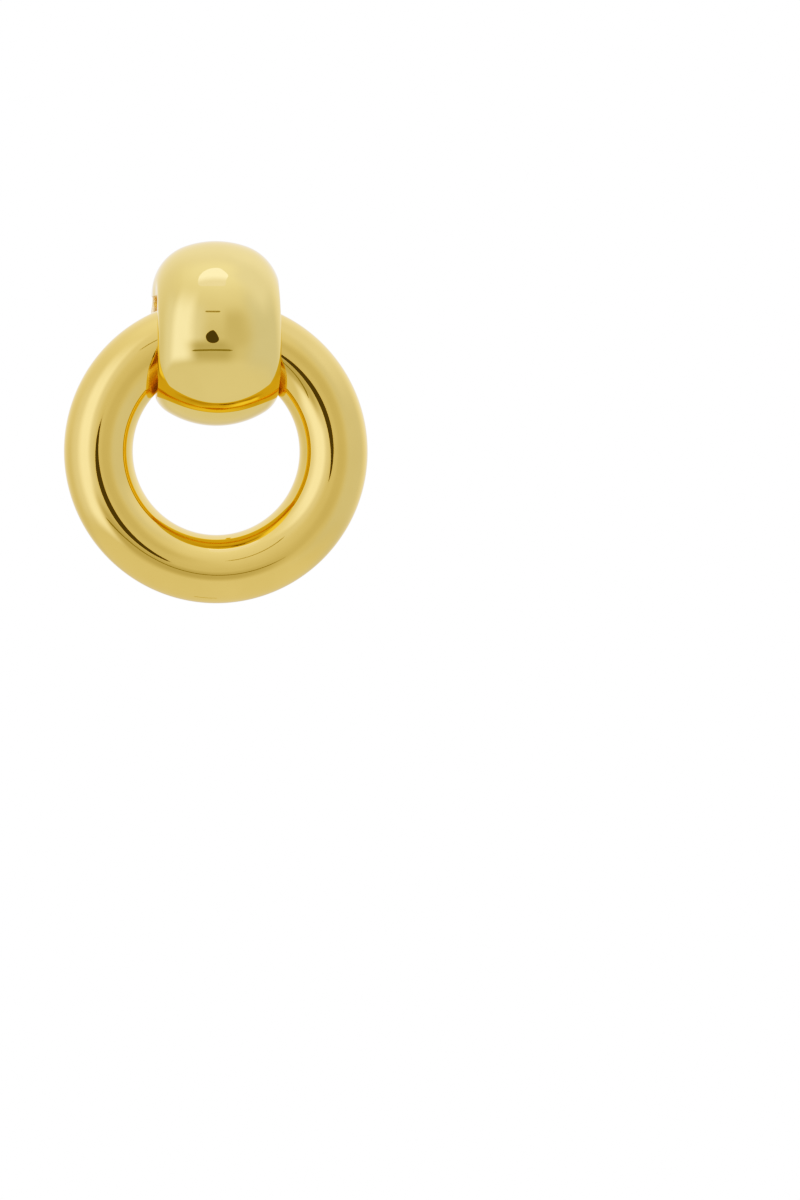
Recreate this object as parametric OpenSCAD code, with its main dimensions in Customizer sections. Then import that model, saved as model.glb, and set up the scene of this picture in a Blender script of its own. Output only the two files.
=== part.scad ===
// Doorknocker drop earring: a puffed bead on an ear post, with a round ring hanging through it.
// The origin is the root of the ear post, on the bead's flat back. The front faces -Y and up is +Z.

/* [Ring] */
// Radius from the middle of the ring to the centre of its tube
ring_r = 11.8; // [11.5:0.1:12.5]
// Radius of the ring's round tube
tube_r = 3.45; // [3.2:0.05:3.6]

/* [Bail] */
// Radius of the ball that the bead is made from, with its centre in the middle of the ring's tube
bead_r = 9.25; // [9:0.25:10]
// Width of the bead from side to side
bead_w = 12.8; // [12:0.2:13.4]
// Radius of the round shoulders at the bead's two sides
shoulder_r = 4.3; // [4:0.1:5.4]
// Distance from the centre of the ring's tube to the bead's flat back
back_d = 6; // [5.9:0.1:7]

/* [Channel through the bail] */
// Radius of the channel's two long upper corners
channel_corner_r = 1; // [0.5:0.25:1.5]
// Room above the ring's tube
room_above = 0.22; // [0.2:0.02:0.4]
// Gap left around the ring along its whole swing
ring_gap = 0.3; // [0.2:0.05:0.3]

/* [Swing of the ring] */
// Furthest swing from hanging straight down, to the front and to the back, in degrees
swing = 20; // [10:1:25]

/* [Ear post] */
// Radius of the post
post_r = 0.45; // [0.4:0.05:0.5]
// Length of the post's straight part, from the bead's back to its round tip
post_l = 10; // [9:0.5:12]
// Height of the post above the centre of the ring's tube
post_up = 4.2; // [4:0.1:5]

/* [Hidden] */

$fn = 96;
gold = [0.86, 0.71, 0.38];
// A length that runs past every part of the bead, for the cutting shapes
past = 3 * bead_r;

// The bead's section is the ball's arc, which runs into two shoulder arcs as good as tangent to it.
// Its first coordinate is the distance from the bead's own axis, its second runs along that axis.
// The shoulder arcs stand proud of the ball's by a hair, so that the arcs cross cleanly.
shoulder_proud = 0.02;
half_w = bead_w / 2;
shoulder_a = half_w - shoulder_r;
shoulder_c = sqrt(pow(bead_r - shoulder_r + shoulder_proud, 2) - pow(shoulder_a, 2));

// Where the ring's tube crosses the bead's side, its upper and lower edge below the tube's top centre
tube_top = ring_r - sqrt(pow(ring_r + tube_r, 2) - pow(half_w, 2));
tube_bottom = ring_r - sqrt(pow(ring_r - tube_r, 2) - pow(half_w, 2));
tube_drop = (tube_top + tube_bottom) / 2;
tube_tall = (tube_bottom - tube_top) / 2;

// Half of the channel's depth, from front to back, which leaves room for the ring at its furthest swing
channel_half = tube_drop * sin(swing) + norm([tube_r * cos(swing), tube_tall * sin(swing)]) + ring_gap;
channel_top = tube_r + room_above;
// The square upper part of the channel ends here, just below the middle of the ring's tube
square_down_to = -1;

// Moves children from the centre of the ring's tube, where bead and ring are drawn, to the origin
module at_pivot() {
    translate([0, -back_d, -post_up])
        children();
}

// The slice of the ball's circle between the lines through the centres of the shoulder arcs
module ball_slice() {
    intersection() {
        circle(r = bead_r);
        polygon([
            [0, 0],
            [2 * bead_r, -2 * bead_r * shoulder_a / shoulder_c],
            [2 * bead_r, 2 * bead_r * shoulder_a / shoulder_c]
        ]);
    }
}

// Half of the bead's section, from its axis outwards
module bead_section() {
    intersection() {
        union() {
            ball_slice();
            for (side = [-1, 1])
                translate([shoulder_c, side * shoulder_a])
                    circle(r = shoulder_r);
            translate([0, -half_w])
                square([shoulder_c, bead_w]);
        }
        translate([0, -past])
            square([past, 2 * past]);
    }
}

// The bead, turned about the X axis and cut flat at its back
module bead() {
    intersection() {
        rotate([0, 90, 0])
            rotate_extrude()
                bead_section();
        translate([-past, back_d - 2 * past, -past])
            cube([2 * past, 2 * past, 2 * past]);
    }
}

// The channel as seen from the bead's side, with the front to the left
module channel_outline() {
    top = channel_top - channel_corner_r;
    inner = channel_half - channel_corner_r;
    translate([-channel_half, -past])
        square([2 * channel_half, past + top]);
    translate([-inner, 0])
        square([2 * inner, channel_top]);
    for (y = [-inner, inner])
        translate([y, top])
            circle(r = channel_corner_r);
}

// A waisted hole around the X axis, which follows the inside of the ring from one side to the other
module waisted_hole() {
    rotate([0, 90, 0])
        rotate_extrude()
            difference() {
                translate([0, -past])
                    square([ring_r, 2 * past]);
                translate([ring_r, 0])
                    circle(r = ring_r - tube_r - ring_gap);
            }
}

// The way through the bead: square above, and a saddle for the ring to hang on below
module channel() {
    intersection() {
        rotate([90, 0, 90])
            linear_extrude(height = 2 * past, center = true)
                channel_outline();
        union() {
            waisted_hole();
            translate([-past, -past, square_down_to])
                cube([2 * past, 2 * past, past]);
        }
    }
}

module bail() {
    color(gold)
        at_pivot()
            difference() {
                bead();
                channel();
            }
}

module ring() {
    color(gold)
        at_pivot()
            translate([0, 0, -ring_r])
                rotate([90, 0, 0])
                    rotate_extrude()
                        translate([ring_r, 0])
                            circle(r = tube_r);
}

// The post stands straight out of the bead's back, with a round tip
module ear_post() {
    color(gold)
        rotate([-90, 0, 0])
            rotate_extrude() {
                square([post_r, post_l]);
                intersection() {
                    translate([0, post_l])
                        circle(r = post_r);
                    square([post_r, post_l + post_r]);
                }
            }
}

bail();
ring();
ear_post();
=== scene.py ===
import math
import bpy
from mathutils import Matrix, Vector


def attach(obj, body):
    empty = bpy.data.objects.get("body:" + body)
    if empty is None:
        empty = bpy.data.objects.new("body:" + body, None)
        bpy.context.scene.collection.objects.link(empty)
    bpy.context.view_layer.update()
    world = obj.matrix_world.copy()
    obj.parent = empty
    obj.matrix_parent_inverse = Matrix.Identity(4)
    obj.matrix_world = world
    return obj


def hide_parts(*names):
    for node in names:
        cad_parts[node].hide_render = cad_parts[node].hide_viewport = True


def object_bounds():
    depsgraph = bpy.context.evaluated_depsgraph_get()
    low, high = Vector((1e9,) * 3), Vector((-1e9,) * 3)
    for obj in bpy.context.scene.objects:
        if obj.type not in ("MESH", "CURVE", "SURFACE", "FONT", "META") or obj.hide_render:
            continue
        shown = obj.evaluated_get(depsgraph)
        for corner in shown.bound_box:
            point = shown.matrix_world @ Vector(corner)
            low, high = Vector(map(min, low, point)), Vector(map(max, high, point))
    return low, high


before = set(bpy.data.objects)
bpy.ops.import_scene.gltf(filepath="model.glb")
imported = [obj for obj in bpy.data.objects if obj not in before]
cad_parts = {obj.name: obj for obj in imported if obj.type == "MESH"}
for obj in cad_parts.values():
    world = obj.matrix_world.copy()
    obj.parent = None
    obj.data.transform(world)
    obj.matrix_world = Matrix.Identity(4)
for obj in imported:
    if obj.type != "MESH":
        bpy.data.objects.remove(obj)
cad_low, cad_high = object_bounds()

MM = 0.001
# A length past every part of the earring
FAR = 1.0
# Less than any part of a direction that counts
TINY = 1e-9

# Sizes of the earring, as in the part's source

# From the middle of the ring to the centre of its tube, and the tube's own radius
RING_R = 11.8 * MM
TUBE_R = 3.45 * MM
# The ball that the bead is made from, and half of the bead's width
BEAD_R = 9.25 * MM
HALF_W = 6.4 * MM
# From the centre of the ring's tube to the bead's flat back
BACK_D = 6 * MM
# The channel: its upper corners, the room above the tube, the gap round the ring, and the height at
# which its square part ends
CORNER_R = 1 * MM
ROOM_ABOVE = 0.22 * MM
RING_GAP = 0.3 * MM
SQUARE_DOWN_TO = -1 * MM
# The ring's furthest swing to each side
SWING = math.radians(20)

# The centre of the ring's tube at its top, at the joint's place in the model
PIVOT = Vector((0, -BACK_D, -4.2 * MM))

# The channel's depth leaves room for the ring at its furthest swing, as in the part's source
TUBE_TOP = RING_R - math.sqrt((RING_R + TUBE_R) ** 2 - HALF_W**2)
TUBE_BOTTOM = RING_R - math.sqrt((RING_R - TUBE_R) ** 2 - HALF_W**2)
TUBE_DROP = (TUBE_TOP + TUBE_BOTTOM) / 2
TUBE_TALL = (TUBE_BOTTOM - TUBE_TOP) / 2
SWING_ROOM = math.hypot(TUBE_R * math.cos(SWING), TUBE_TALL * math.sin(SWING)) + RING_GAP
CHANNEL_HALF = TUBE_DROP * math.sin(SWING) + SWING_ROOM
CHANNEL_TOP = TUBE_R + ROOM_ABOVE

# The bead's finer form. A place round its axis is given by how far its direction goes up, or to the
# front or the back: 1 is straight there, and 0 is not at all.

# In front the bead is narrower, with its sides cut flat. From this far to the front it is fully so.
FRONT_HALF_W = 6.1 * MM
FRONT_FULL = 0.6
# The shoulders' radius beside the axis, and what they gain at the top and lose at the bottom
SHOULDER_R = 4.2 * MM
SHOULDER_CHANGE = 0.8 * MM
# They are tighter still by this round a place below the axis, up to half a span above and below it
SHOULDER_DIP = 0.55 * MM
DIP_AT = -0.6
DIP_HALF_SPAN = 0.55
# How softly the flat sides, the flat back and the channel's step start
SIDE_ROUND = 0.15 * MM
BACK_ROUND = 0.5 * MM
STEP_ROUND = 0.2 * MM
# How far the lips are rounded over, in front and at the back. From this far to the back it is the latter.
LIP_ROUND = 0.14 * MM
BACK_LIP_ROUND = 0.4 * MM
BACK_FULL = 0.5
# The turns of the skin between which each lip is looked for, and how often that range is halved
LIP_TURN_LOW = 0.3
LIP_TURN_HIGH = math.radians(175)
HALVINGS = 40

# Points in the meshes: round the ring and round its tube
RING_POINTS = 288
TUBE_POINTS = 112
# Rows round the bead's axis, and in each row the points over the outside, on each lip and inside
BEAD_ROWS = 384
OUTSIDE_POINTS = 96
LIP_POINTS = 7
INSIDE_POINTS = 48
# Faces of each lip, counted from the outside, that are as polished as the bead
POLISHED_LIP_FACES = 2


def mesh_object(name, verts, faces, is_smooth=True):
    """A new mesh object from points and faces, in the row frame."""
    mesh = bpy.data.meshes.new(name)
    mesh.from_pydata([tuple(v) for v in verts], [], faces)
    mesh.update()
    for face in mesh.polygons:
        face.use_smooth = is_smooth
    obj = bpy.data.objects.new(name, mesh)
    bpy.context.scene.collection.objects.link(obj)
    return obj


def grid_faces(rows, columns):
    """Quads over a grid of points that closes on itself both ways."""
    faces = []
    for i in range(rows):
        for j in range(columns):
            a = i * columns + j
            b = i * columns + (j + 1) % columns
            c = ((i + 1) % rows) * columns + (j + 1) % columns
            d = ((i + 1) % rows) * columns + j
            faces.append((a, b, c, d))
    return faces


# The ring


def make_ring():
    """The ring as a fine torus, round its own centre below the pivot."""
    centre = PIVOT - Vector((0, 0, RING_R))
    verts = []
    for i in range(RING_POINTS):
        a = 2 * math.pi * i / RING_POINTS
        out = Vector((math.sin(a), 0, math.cos(a)))
        for j in range(TUBE_POINTS):
            b = 2 * math.pi * j / TUBE_POINTS
            depth = Vector((0, TUBE_R * math.sin(b), 0))
            verts.append(centre + out * (RING_R + TUBE_R * math.cos(b)) + depth)
    return mesh_object("ring_tube", verts, grid_faces(RING_POINTS, TUBE_POINTS))


# The bail


def soft_min(a, b, k):
    """The lesser of two lengths, with the corner between them rounded over a length k."""
    h = max(k - abs(a - b), 0) / k
    return min(a, b) - h * h * k / 4


def smooth(x, start, end):
    """0 before the start and 1 after the end, with a soft change between them."""
    t = min(max((x - start) / (end - start), 0), 1)
    return t * t * (3 - 2 * t)


def curve_point(a, b, c, t):
    """The point a part t of the way along a curve from a to c that bends towards b."""
    return tuple((1 - t) ** 2 * p + 2 * t * (1 - t) * q + t * t * r for p, q, r in zip(a, b, c))


def shoulder_radius(z):
    """The radius of the bead's shoulders at a place round its axis."""
    dip = max(1 - ((z - DIP_AT) / DIP_HALF_SPAN) ** 2, 0) ** 2
    return SHOULDER_R + SHOULDER_CHANGE * z - SHOULDER_DIP * dip


def ball_point(s, shoulder_r):
    """(distance along the bead's axis, distance from it) where its skin has turned by s from the middle."""
    a = HALF_W - shoulder_r
    c = math.sqrt((BEAD_R - shoulder_r) ** 2 - a**2)
    if s < math.atan2(a, c):
        return BEAD_R * math.sin(s), BEAD_R * math.cos(s)
    return a + shoulder_r * math.sin(s), c + shoulder_r * math.cos(s)


def bead_skin(y, z):
    """The bead's skin in one direction from its axis, as a function of how far it has turned."""
    shoulder_r = shoulder_radius(z)
    half_w = HALF_W + (FRONT_HALF_W - HALF_W) * smooth(-y, 0, FRONT_FULL)
    back = BACK_D / y if y > 0 else FAR

    def skin(s):
        x, r = ball_point(s, shoulder_r)
        return soft_min(x, half_w, SIDE_ROUND), soft_min(r, back, BACK_ROUND)

    return skin


def outline_radius(y, z):
    """How far the channel's outline is from the bead's axis, in one direction."""
    r = CHANNEL_TOP / z if z > TINY else FAR
    r = min(r, CHANNEL_HALF / abs(y) if abs(y) > TINY else FAR)
    inner = CHANNEL_HALF - CORNER_R
    top = CHANNEL_TOP - CORNER_R
    if abs(r * y) > inner and r * z > top:
        centre_y = math.copysign(inner, y)
        along = centre_y * y + top * z
        r = along + math.sqrt(along**2 - (centre_y**2 + top**2 - CORNER_R**2))
    return r


def inner_radius(x, z, outline):
    """The channel's distance from the bead's axis at x, in one direction."""
    if z >= 0:
        return outline
    waist = RING_R - math.sqrt((RING_R - TUBE_R - RING_GAP) ** 2 - x**2)
    return soft_min(outline, max(SQUARE_DOWN_TO / z, waist), STEP_ROUND)


def lip_turn(skin, z, outline):
    """How far the skin has turned where it meets the channel, by halving a range that holds it."""
    low, high = LIP_TURN_LOW, LIP_TURN_HIGH
    for _ in range(HALVINGS):
        middle = (low + high) / 2
        x, r = skin(middle)
        if r > inner_radius(min(x, HALF_W), z, outline):
            low = middle
        else:
            high = middle
    return low


def half_row(y, z):
    """Points in one direction from the bead's axis: from its middle over the outside to the right, round
    the lip there, and back through the channel to the middle."""
    outline = outline_radius(y, z)
    skin = bead_skin(y, z)
    turn = lip_turn(skin, z, outline)
    round_over = LIP_ROUND + (BACK_LIP_ROUND - LIP_ROUND) * smooth(y, 0, BACK_FULL)
    lip_from = turn - round_over / shoulder_radius(z)
    lip = skin(turn)
    x_in = lip[0] - round_over
    lip_end = (x_in, inner_radius(x_in, z, outline))

    outside = OUTSIDE_POINTS // 2
    inside = INSIDE_POINTS // 2
    points = [skin(lip_from * (k + 0.5) / outside) for k in range(outside)]
    for k in range(LIP_POINTS):
        points.append(curve_point(skin(lip_from), lip, lip_end, k / (LIP_POINTS - 1)))
    for k in range(1, inside):
        x = x_in * (1 - k / inside)
        points.append((x, inner_radius(x, z, outline)))
    return points


def make_bail():
    """The bead as one closed skin. Rows run round its axis, and each goes from the middle over the right
    side, through the channel, and over the left side back to the middle."""
    verts = []
    for i in range(BEAD_ROWS):
        a = 2 * math.pi * i / BEAD_ROWS
        y, z = -math.cos(a), math.sin(a)
        right = half_row(y, z)
        row = right + [(-x, r) for x, r in reversed(right)]
        verts.extend(PIVOT + Vector((x, y * r, z * r)) for x, r in row)
    columns = len(verts) // BEAD_ROWS
    shell = mesh_object("bail_shell", verts, grid_faces(BEAD_ROWS, columns))
    first = OUTSIDE_POINTS // 2 + POLISHED_LIP_FACES
    for face in shell.data.polygons:
        if first <= face.index % columns < columns - first - 1:
            face.material_index = 1
    return shell


# Materials

# The colour of the gold plate, and how much of it the gold keeps in reflections at a low angle
BAIL_GOLD = (0.88, 0.66, 0.264)
BAIL_EDGE = (1.0, 0.94, 0.8)
RING_GOLD = (0.88, 0.627, 0.237)
RING_EDGE = (1.0, 0.96, 0.84)
BAIL_ROUGHNESS = 0.035
RING_ROUGHNESS = 0.04
POST_ROUGHNESS = 0.08
# The height of the waves of hand polishing
WAVES = 0.01 * MM
POST_WAVES = 0.004 * MM
# The channel's inside and its lips are less polished. Light that goes back and forth between them and
# the ring turns a deep orange, which a faint painted glow stands in for.
CHANNEL_GOLD = (0.95, 0.78, 0.5)
CHANNEL_ROUGHNESS = 0.4
CHANNEL_METAL = 0.75
CHANNEL_PAINTED_BOUNCE = (1.0, 0.4, 0.1)
CHANNEL_PAINTED_BOUNCE_STRENGTH = 0.05

# Noise: how many patches there are in a metre, and how fine its detail is
TONE_NOISE = (160, 3)
GLOSS_NOISE = (420, 4)
WAVE_NOISE = (210, 2)
# The noise values between which tone and gloss change
NOISE_LOW = 0.35
NOISE_HIGH = 0.65
# The darkest tone, the least roughness and the greatest, as parts of the plain value
DARKEST = 0.96
SMOOTHEST = 0.7
ROUGHEST = 1.3


def noise_node(nodes, links, noise, coords):
    """A noise pattern with the given scale and detail."""
    node = nodes.new("ShaderNodeTexNoise")
    node.inputs["Scale"].default_value = noise[0]
    node.inputs["Detail"].default_value = noise[1]
    links.new(coords, node.inputs["Vector"])
    return node.outputs["Fac"]


def make_gold(name, colour, roughness, wave, edge, metal=1.0):
    """Gold plate: a little uneven in tone and gloss, with the faint waves of hand polishing."""
    mat = bpy.data.materials.new(name)
    mat.use_nodes = True
    nodes, links = mat.node_tree.nodes, mat.node_tree.links
    bsdf = nodes["Principled BSDF"]
    bsdf.inputs["Metallic"].default_value = metal
    bsdf.inputs["Specular Tint"].default_value = (*edge, 1)
    coords = nodes.new("ShaderNodeTexCoord").outputs["Object"]

    ramp = nodes.new("ShaderNodeValToRGB")
    ramp.color_ramp.elements[0].position = NOISE_LOW
    ramp.color_ramp.elements[0].color = (*[c * DARKEST for c in colour], 1)
    ramp.color_ramp.elements[1].position = NOISE_HIGH
    ramp.color_ramp.elements[1].color = (*colour, 1)
    links.new(noise_node(nodes, links, TONE_NOISE, coords), ramp.inputs["Fac"])
    links.new(ramp.outputs["Color"], bsdf.inputs["Base Color"])

    spread = nodes.new("ShaderNodeMapRange")
    spread.inputs["From Min"].default_value = NOISE_LOW
    spread.inputs["From Max"].default_value = NOISE_HIGH
    spread.inputs["To Min"].default_value = roughness * SMOOTHEST
    spread.inputs["To Max"].default_value = roughness * ROUGHEST
    links.new(noise_node(nodes, links, GLOSS_NOISE, coords), spread.inputs["Value"])
    links.new(spread.outputs["Result"], bsdf.inputs["Roughness"])

    bump = nodes.new("ShaderNodeBump")
    bump.inputs["Strength"].default_value = 1.0
    bump.inputs["Distance"].default_value = wave
    links.new(noise_node(nodes, links, WAVE_NOISE, coords), bump.inputs["Height"])
    links.new(bump.outputs["Normal"], bsdf.inputs["Normal"])
    return mat


def make_channel_gold():
    """The satin gold of the channel, with a faint painted glow in place of light bounced off the ring."""
    mat = make_gold("channel_gold", CHANNEL_GOLD, CHANNEL_ROUGHNESS, WAVES, BAIL_EDGE, CHANNEL_METAL)
    bsdf = mat.node_tree.nodes["Principled BSDF"]
    # Painted light: an orange glow in place of the light bounced between the channel and the ring
    bsdf.inputs["Emission Color"].default_value = (*CHANNEL_PAINTED_BOUNCE, 1)
    bsdf.inputs["Emission Strength"].default_value = CHANNEL_PAINTED_BOUNCE_STRENGTH
    return mat


# The pieces, with their materials

ring = make_ring()
ring.data.materials.append(make_gold("ring_gold", RING_GOLD, RING_ROUGHNESS, WAVES, RING_EDGE))
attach(ring, "ring")
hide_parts("ring")

bail = make_bail()
bail.data.materials.append(make_gold("bail_gold", BAIL_GOLD, BAIL_ROUGHNESS, WAVES, BAIL_EDGE))
bail.data.materials.append(make_channel_gold())
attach(bail, "bail")
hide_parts("bail")

post_gold = make_gold("post_gold", BAIL_GOLD, POST_ROUGHNESS, POST_WAVES, BAIL_EDGE)
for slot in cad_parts["ear_post"].material_slots:
    slot.material = post_gold


# The camera

PHOTO_W, PHOTO_H = 800, 1200
MM_PER_PIXEL = 0.1005
# The direction from which the earring is seen, and how far away the camera is
AZIMUTH = math.radians(-3.7)
ELEVATION = math.radians(-2.2)
DISTANCE = 0.4
# The width of the camera's sensor in millimetres, and the nearest and furthest that it sees in metres
SENSOR_WIDTH = 36.0
NEAREST = 0.01
FURTHEST = 20
# Where the centre of the ring's tube shows in the photo, in its pixels
PIVOT_PIXEL = (216.4, 333.3)

# From the earring to the camera, and the camera's right and up
TO_CAMERA = Vector(
    (
        math.sin(AZIMUTH) * math.cos(ELEVATION),
        -math.cos(AZIMUTH) * math.cos(ELEVATION),
        math.sin(ELEVATION),
    )
)
RIGHT = Vector((math.cos(AZIMUTH), math.sin(AZIMUTH), 0))
UP = TO_CAMERA.cross(RIGHT)


def make_camera():
    """The earring is left of the picture's middle and above it, so the camera looks a little past it."""
    cam_data = bpy.data.cameras.new("camera")
    cam = bpy.data.objects.new("camera", cam_data)
    bpy.context.scene.collection.objects.link(cam)
    bpy.context.scene.camera = cam
    cam_data.sensor_width = SENSOR_WIDTH
    cam_data.lens = SENSOR_WIDTH * DISTANCE / (PHOTO_H * MM_PER_PIXEL * MM)
    cam_data.clip_start = NEAREST
    cam_data.clip_end = FURTHEST
    off_x = (PHOTO_W / 2 - PIVOT_PIXEL[0]) * MM_PER_PIXEL * MM
    off_y = (PHOTO_H / 2 - PIVOT_PIXEL[1]) * MM_PER_PIXEL * MM
    turn = Matrix.Rotation(-math.atan2(off_x, DISTANCE), 3, UP)
    right = turn @ RIGHT
    drop = Matrix.Rotation(-math.atan2(off_y, math.hypot(off_x, DISTANCE)), 3, right)
    back, up = drop @ turn @ TO_CAMERA, drop @ UP
    place = Matrix.Translation(PIVOT + TO_CAMERA * DISTANCE)
    cam.matrix_world = place @ Matrix((right, up, back)).transposed().to_4x4()


make_camera()


# The studio

# It is a soft room with brighter and dimmer panels, a white floor, and cards that only the polished
# metal shows. Directions are in degrees to the right of the camera and above it, from the earring.

# How bright the room is, from straight down (0) over level (0.5) to straight up (1)
ROOM_LEVELS = ((0.0, 0.62), (0.2, 0.61), (0.26, 0.57), (0.5, 0.55), (0.8, 0.66), (0.9, 0.725), (1.0, 0.85))

# The camera's tone curve: how deep it makes shadows, and how early highlights flatten
TONE_POWER = 1.6
TONE_KNEE = 0.33
TONE_STEPS = 12
# Points of the blue curve, which takes some blue out of deep warm tones
BLUE_TOE = ((0.045, 0.0105), (0.09, 0.068), (0.135, 0.127), (0.254, 0.265), (0.6, 0.605))
# The places of the blue curve and of the one for all colours in the colour settings
BLUE_CURVE = 2
WHOLE_CURVE = 3

# The floor, in metres: how far it is below the earring, its front edge, and how far it reaches
FLOOR_DROP = 0.05
FLOOR_FRONT = -0.115
FLOOR_REACH = 1.2
FLOOR_WHITE = 0.85
FLOOR_ROUGHNESS = 0.9

# The dark shape at the camera
LENS = [
    (-3.9, 4.1), (-8.7, 2), (-12.3, -2.7), (-10.9, -8.2), (-5.9, -11.2),
    (0.8, -10.6), (3.8, -6.8), (1.6, -1), (-1, 2.6),
]
LENS_COLOUR = (0.095, 0.078, 0.12)
LENS_DISTANCE = 0.43
# Level bars, which show as thin lines: each one's name, left end, right end, height and colour
BARS = (
    ("rail_low", -32, 22, -20, (0.22, 0.21, 0.18)),
    ("rail_high", -14.3, 6.4, 27, (0.3, 0.28, 0.25)),
    ("rail_back", 174, 200, -70, (0.4, 0.36, 0.28)),
)
BAR_THICK = 2
BAR_DISTANCE = 0.44
# The light above, whose near edge is dimmer than its far one
TOP_LIGHT = [
    (-32, 58.8), (16, 60.1), (28, 67.8), (44, 73.1), (51, 80.1),
    (58, 86.4), (-62, 85.5), (-64, 80.4), (-60, 75.8), (-49, 67.4),
]
TOP_LIGHT_COLOUR = (1.0, 1.0, 1.1)
TOP_LIGHT_DISTANCE = 0.42
TOP_LIGHT_LEVELS = (0.81, 1.16)
# Where its brightness changes, in metres from the origin and away from the camera
TOP_LIGHT_FADE = (-0.168, -0.094)


def grey(level):
    """A colour without a tint."""
    return (level, level, level)


# Soft panels: the angles where the left edge starts and where it is full, the same for the right, the
# lower and the upper edge, each from the outside inwards, and the colour
PANELS = (
    ((-120, -75), (-4, -28), (-37, -23), (50, 20), (0.69, 0.71, 0.77)),
    ((-80, -53), (-23, -38), (-35, -22), (60, 22), (1.0, 1.0, 1.07)),
    ((-46, -20), (34, 10), (-42, -25), (-3, -15), grey(0.43)),
    ((30, 60), (170, 130), (-50, -20), (60, 30), (0.565, 0.6, 0.67)),
    ((5, 19), (50, 27), (-22, -6), (38, 16), grey(0.51)),
    ((100, 140), (260, 220), (-30, 0), (40, 20), grey(0.66)),
    ((90, 165), (270, 195), (0, 40), (95, 65), (0.765, 0.77, 0.82)),
    ((40, 78), (190, 145), (12, 40), (82, 62), (0.715, 0.735, 0.8)),
    ((105, 150), (235, 190), (-30, 10), (80, 50), (0.81, 0.82, 0.88)),
)


def math_node(nodes, links, operation, a, b=None):
    """A Math node whose inputs are sockets or numbers."""
    node = nodes.new("ShaderNodeMath")
    node.operation = operation
    for socket, value in zip(node.inputs, (a, b)):
        if isinstance(value, (int, float)):
            socket.default_value = value
        elif value is not None:
            links.new(value, socket)
    return node.outputs[0]


def direction_part(nodes, links, coords, axis):
    """How far a direction or a place goes along one axis."""
    dot = nodes.new("ShaderNodeVectorMath")
    dot.operation = "DOT_PRODUCT"
    links.new(coords, dot.inputs[0])
    dot.inputs[1].default_value = tuple(axis)
    return dot.outputs["Value"]


def soft_range(nodes, links, value, low, high, level_low, level_high):
    """One level below the low value and the other above the high one, with a soft change between them."""
    fade = nodes.new("ShaderNodeMapRange")
    fade.interpolation_type = "SMOOTHSTEP"
    fade.inputs["From Min"].default_value = low
    fade.inputs["From Max"].default_value = high
    fade.inputs["To Min"].default_value = level_low
    fade.inputs["To Max"].default_value = level_high
    links.new(value, fade.inputs["Value"])
    return fade.outputs[0]


def soft_window(nodes, links, angle, low, high):
    """1 between two soft edges, each given by the angles where the panel starts and where it is full."""
    up = soft_range(nodes, links, angle, math.radians(low[0]), math.radians(low[1]), 0, 1)
    down = soft_range(nodes, links, angle, math.radians(high[1]), math.radians(high[0]), 1, 0)
    return math_node(nodes, links, "MULTIPLY", up, down)


def room_colour(nodes, links, up):
    """The room without its panels, dimmer at the level and brighter above."""
    height = nodes.new("ShaderNodeMapRange")
    height.inputs["From Min"].default_value = -1
    height.inputs["From Max"].default_value = 1
    links.new(up, height.inputs["Value"])
    ramp = nodes.new("ShaderNodeValToRGB")
    links.new(height.outputs[0], ramp.inputs["Fac"])
    stops = ramp.color_ramp.elements
    for k, (place, level) in enumerate(ROOM_LEVELS):
        stop = stops[k] if k < 2 else stops.new(place)
        stop.position = place
        stop.color = (*grey(level), 1)
    return ramp.outputs["Color"]


def make_world():
    """White where the camera looks, and the room with its panels where the gold looks."""
    world = bpy.data.worlds.new("studio")
    bpy.context.scene.world = world
    world.use_nodes = True
    nodes, links = world.node_tree.nodes, world.node_tree.links
    coords = nodes.new("ShaderNodeTexCoord").outputs["Generated"]
    right = direction_part(nodes, links, coords, RIGHT)
    up = direction_part(nodes, links, coords, UP)
    front = direction_part(nodes, links, coords, TO_CAMERA)
    across = math_node(nodes, links, "ARCTAN2", right, front)
    # The same angle counted from 0 to 360 degrees, for a panel behind the earring
    left = math_node(nodes, links, "MULTIPLY", right, -1.0)
    back = math_node(nodes, links, "MULTIPLY", front, -1.0)
    turned = math_node(nodes, links, "ARCTAN2", left, back)
    behind = math_node(nodes, links, "ADD", turned, math.pi)
    rise = math_node(nodes, links, "ARCSINE", up)

    colour = room_colour(nodes, links, up)
    for left_edge, right_edge, bottom, top, panel_colour in PANELS:
        # Degrees past 180 are only in the angle that is counted from 0 to 360
        angle = behind if right_edge[0] > 180 else across
        wide = soft_window(nodes, links, angle, left_edge, right_edge)
        tall = soft_window(nodes, links, rise, bottom, top)
        mix = nodes.new("ShaderNodeMix")
        mix.data_type = "RGBA"
        links.new(math_node(nodes, links, "MULTIPLY", wide, tall), mix.inputs["Factor"])
        links.new(colour, mix.inputs["A"])
        mix.inputs["B"].default_value = (*panel_colour, 1)
        colour = mix.outputs["Result"]

    room = nodes["Background"]
    links.new(colour, room.inputs["Color"])
    white = nodes.new("ShaderNodeBackground")
    white.inputs["Color"].default_value = (1, 1, 1, 1)
    mix = nodes.new("ShaderNodeMixShader")
    path = nodes.new("ShaderNodeLightPath")
    links.new(path.outputs["Is Camera Ray"], mix.inputs["Fac"])
    links.new(room.outputs[0], mix.inputs[1])
    links.new(white.outputs[0], mix.inputs[2])
    links.new(mix.outputs[0], nodes["World Output"].inputs["Surface"])


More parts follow.
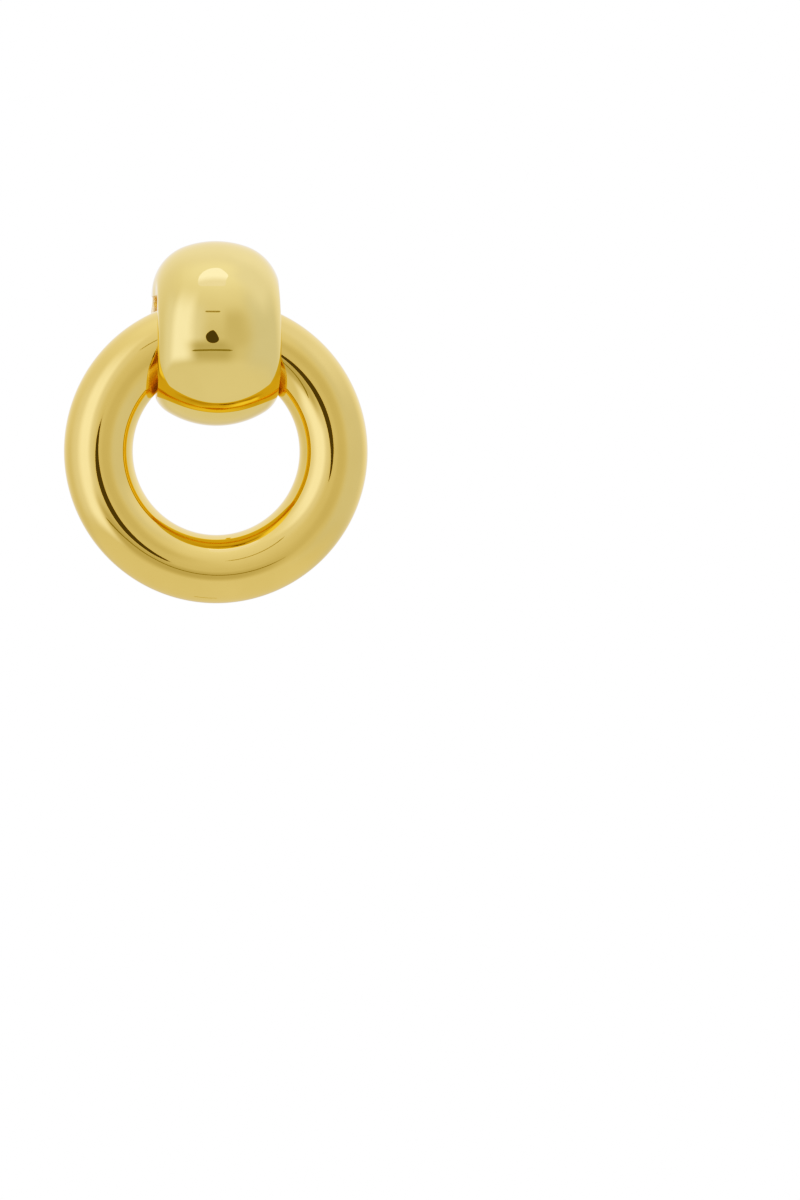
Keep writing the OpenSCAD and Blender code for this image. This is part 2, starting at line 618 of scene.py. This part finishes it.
def make_floor():
    """A white floor below the earring, which reflections in the gold pass through."""
    z = cad_low.z - FLOOR_DROP
    corners = [
        (-FLOOR_REACH, FLOOR_FRONT, z),
        (FLOOR_REACH, FLOOR_FRONT, z),
        (FLOOR_REACH, FLOOR_REACH, z),
        (-FLOOR_REACH, FLOOR_REACH, z),
    ]
    floor = mesh_object("floor", corners, [(0, 1, 2, 3)], False)
    mat = bpy.data.materials.new("floor_white")
    mat.use_nodes = True
    nodes, links = mat.node_tree.nodes, mat.node_tree.links
    bsdf = nodes["Principled BSDF"]
    bsdf.inputs["Base Color"].default_value = (*grey(FLOOR_WHITE), 1)
    bsdf.inputs["Roughness"].default_value = FLOOR_ROUGHNESS
    bsdf.inputs["Specular IOR Level"].default_value = 0.0
    lit = nodes.new("ShaderNodeEmission")
    path = nodes.new("ShaderNodeLightPath")
    mix = nodes.new("ShaderNodeMixShader")
    links.new(path.outputs["Is Camera Ray"], mix.inputs["Fac"])
    links.new(bsdf.outputs[0], mix.inputs[1])
    links.new(lit.outputs[0], mix.inputs[2])
    links.new(mix.outputs[0], nodes["Material Output"].inputs["Surface"])
    floor.data.materials.append(mat)
    floor.visible_glossy = False


def set_tone_curve():
    """A camera's tone curve: deeper shadows and softer highlights, and less blue in deep warm tones."""
    view = bpy.context.scene.view_settings
    view.view_transform = "Standard"
    view.use_curve_mapping = True
    curves = view.curve_mapping.curves
    for k in range(1, TONE_STEPS):
        x = k / TONE_STEPS
        power = x**TONE_POWER
        curves[WHOLE_CURVE].points.new(x, (1 + TONE_KNEE) * power / (power + TONE_KNEE))
    for x, y in BLUE_TOE:
        curves[BLUE_CURVE].points.new(x, y)
    view.curve_mapping.update()


def toward(across, up):
    """The direction at two angles from the camera's, seen from the earring."""
    h, v = math.radians(across), math.radians(up)
    flat = TO_CAMERA * math.cos(h) + RIGHT * math.sin(h)
    return flat * math.cos(v) + UP * math.sin(v)


def rounded(directions):
    """More directions, on a smooth closed curve through the given ones."""
    count, steps = len(directions), 6
    curve = []
    for i in range(count):
        a, b, c, d = (directions[(i + k) % count] for k in (-1, 0, 1, 2))
        for step in range(steps):
            t = step / steps
            bend = (a * 2 - b * 5 + c * 4 - d) * t**2 + (b * 3 - a - c * 3 + d) * t**3
            curve.append((b * 2 + (c - a) * t + bend).normalized())
    return curve


def glow_material(name, colour):
    """A material that shines in one colour, from a node named glow."""
    mat = bpy.data.materials.new(name)
    mat.use_nodes = True
    nodes, links = mat.node_tree.nodes, mat.node_tree.links
    nodes.remove(nodes["Principled BSDF"])
    glow = nodes.new("ShaderNodeEmission")
    glow.name = "glow"
    glow.inputs["Color"].default_value = (*colour, 1)
    links.new(glow.outputs[0], nodes["Material Output"].inputs["Surface"])
    return mat


def card(name, corners, colour, distance, is_round=False):
    """A card seen from the earring between the given directions, which shows only in reflections."""
    directions = [toward(*corner) for corner in corners]
    if is_round:
        directions = rounded(directions)
    verts = [PIVOT + direction * distance for direction in directions]
    obj = mesh_object(name, verts, [tuple(range(len(verts)))], False)
    obj.data.materials.append(glow_material(name, colour))
    obj.visible_camera = False
    obj.visible_shadow = False
    obj.visible_diffuse = False
    return obj


def bar(name, left, right, up, colour):
    """A thin level card from one angle to another, with pointed ends."""
    steps = 12
    across = [left + (right - left) * k / steps for k in range(1, steps)]
    top = [(left, up)] + [(h, up + BAR_THICK / 2) for h in across] + [(right, up)]
    bottom = [(h, up - BAR_THICK / 2) for h in reversed(across)]
    card(name, top + bottom, colour, BAR_DISTANCE)


def make_top_light():
    """The light above. Its brightness changes from its near edge to its far one."""
    light = card("top_light", TOP_LIGHT, TOP_LIGHT_COLOUR, TOP_LIGHT_DISTANCE, True)
    nodes, links = light.data.materials[0].node_tree.nodes, light.data.materials[0].node_tree.links
    coords = nodes.new("ShaderNodeTexCoord").outputs["Object"]
    away = direction_part(nodes, links, coords, -TO_CAMERA)
    level = soft_range(nodes, links, away, *TOP_LIGHT_FADE, *TOP_LIGHT_LEVELS)
    links.new(level, nodes["glow"].inputs["Strength"])


make_world()
make_floor()
set_tone_curve()
card("lens", LENS, LENS_COLOUR, LENS_DISTANCE, True)
for name, left, right, up, colour in BARS:
    bar(name, left, right, up, colour)
make_top_light()
